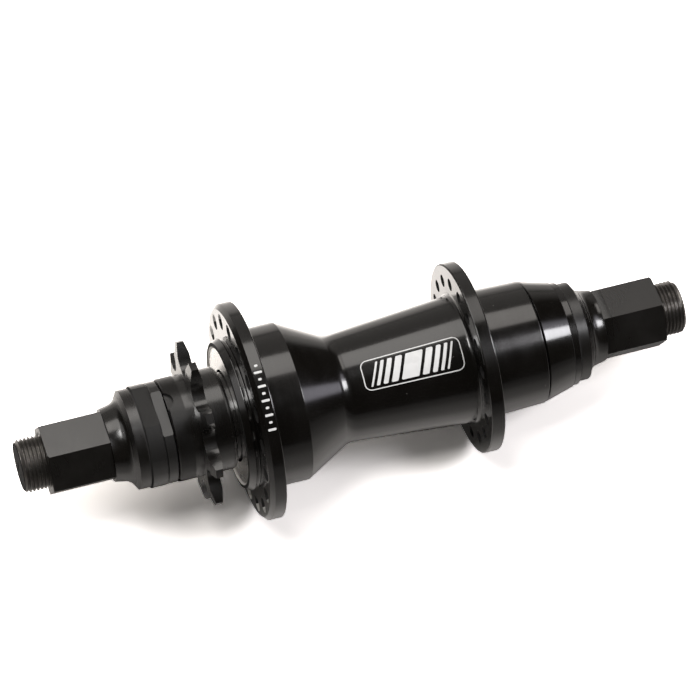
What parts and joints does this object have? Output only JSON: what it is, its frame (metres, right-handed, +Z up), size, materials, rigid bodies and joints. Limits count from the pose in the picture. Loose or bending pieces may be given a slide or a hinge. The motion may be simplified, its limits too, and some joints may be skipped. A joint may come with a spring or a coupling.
{
  "type": "bicycle cassette hub",
  "caption": "Single-speed rear cassette hub with a flanged shell for laced spokes, a small chain driver with pawls, and a bolt-on axle.",
  "frame": {"origin": "on the axle's centre line, at the middle of the axle's length", "axes": "+X along the axle away from the cog, so the drive side is at -X; +Z up, at rest with the axle level"},
  "size_m": [0.1774, 0.0568, 0.0568],
  "materials": {
    "shell_anodised": "black anodised, satin gloss",
    "nut_black": "black zinc plated steel",
    "cone_black": "black anodised",
    "driver_black": "black oxide steel, satin",
    "axle_steel": "dark chrome-moly steel",
    "hardened_steel": "hardened steel, oiled",
    "bearing_steel": "ground bearing steel",
    "spring_steel": "bright spring wire",
    "spacer_aluminium": "turned aluminium",
    "shield_black": "moulded bearing seal",
    "seal_rubber": "matt black rubber"
  },
  "bodies": {
    "axle": {"axle": "axle_steel", "axle_nut_drive": "nut_black", "axle_nut_nondrive": "nut_black", "locknut_drive": "cone_black", "cone_drive": "cone_black", "cone_nondrive": "cone_black", "spacer_driver": "spacer_aluminium", "spacer_middle": "spacer_aluminium", "spacer_shell": "spacer_aluminium", "inner_race_driver_outer": "bearing_steel", "inner_race_driver_inner": "bearing_steel", "inner_race_shell_drive": "bearing_steel", "inner_race_shell_nondrive": "bearing_steel"},
    "shell": {"hub_shell": "shell_anodised", "ratchet_ring": "hardened_steel", "dust_seal": "seal_rubber", "outer_race_shell_drive": "bearing_steel", "outer_race_shell_nondrive": "bearing_steel", "shields_shell_drive": "shield_black", "shields_shell_nondrive": "shield_black"},
    "driver": {"driver_body": "driver_black", "cog": "driver_black", "driver_lockring": "driver_black", "pawl_spring": "spring_steel", "outer_race_driver_outer": "bearing_steel", "outer_race_driver_inner": "bearing_steel", "shields_driver_outer": "shield_black", "shields_driver_inner": "shield_black"},
    "pawl_1": {"pawl_1": "hardened_steel"},
    "pawl_2": {"pawl_2": "hardened_steel"},
    "pawl_3": {"pawl_3": "hardened_steel"}
  },
  "joints": [
    {"name": "shell_spin", "type": "hinge", "parent": "axle", "child": "shell", "pos_m": [0, 0, 0], "axis": [1, 0, 0], "continuous": true},
    {"name": "driver_spin", "type": "hinge", "parent": "axle", "child": "driver", "pos_m": [-0.0419, 0, 0], "axis": [1, 0, 0], "continuous": true},
    {"name": "pawl_1_tip", "type": "hinge", "parent": "driver", "child": "pawl_1", "pos_m": [-0.026, 0, 0.0115], "axis": [1, 0, 0], "range_deg": [0, 12.5], "stiffness_Nm_per_rad": 0.0002, "springref_deg": -11.46},
    {"name": "pawl_2_tip", "type": "hinge", "parent": "driver", "child": "pawl_2", "pos_m": [-0.026, -0.00996, -0.00575], "axis": [1, 0, 0], "range_deg": [0, 12.5], "stiffness_Nm_per_rad": 0.0002, "springref_deg": -11.46},
    {"name": "pawl_3_tip", "type": "hinge", "parent": "driver", "child": "pawl_3", "pos_m": [-0.026, 0.00996, -0.00575], "axis": [1, 0, 0], "range_deg": [0, 12.5], "stiffness_Nm_per_rad": 0.0002, "springref_deg": -11.46}
  ],
  "couplings": [
    {"joint": "pawl_2_tip", "follows": "pawl_1_tip", "ratio": 1},
    {"joint": "pawl_3_tip", "follows": "pawl_1_tip", "ratio": 1}
  ]
}
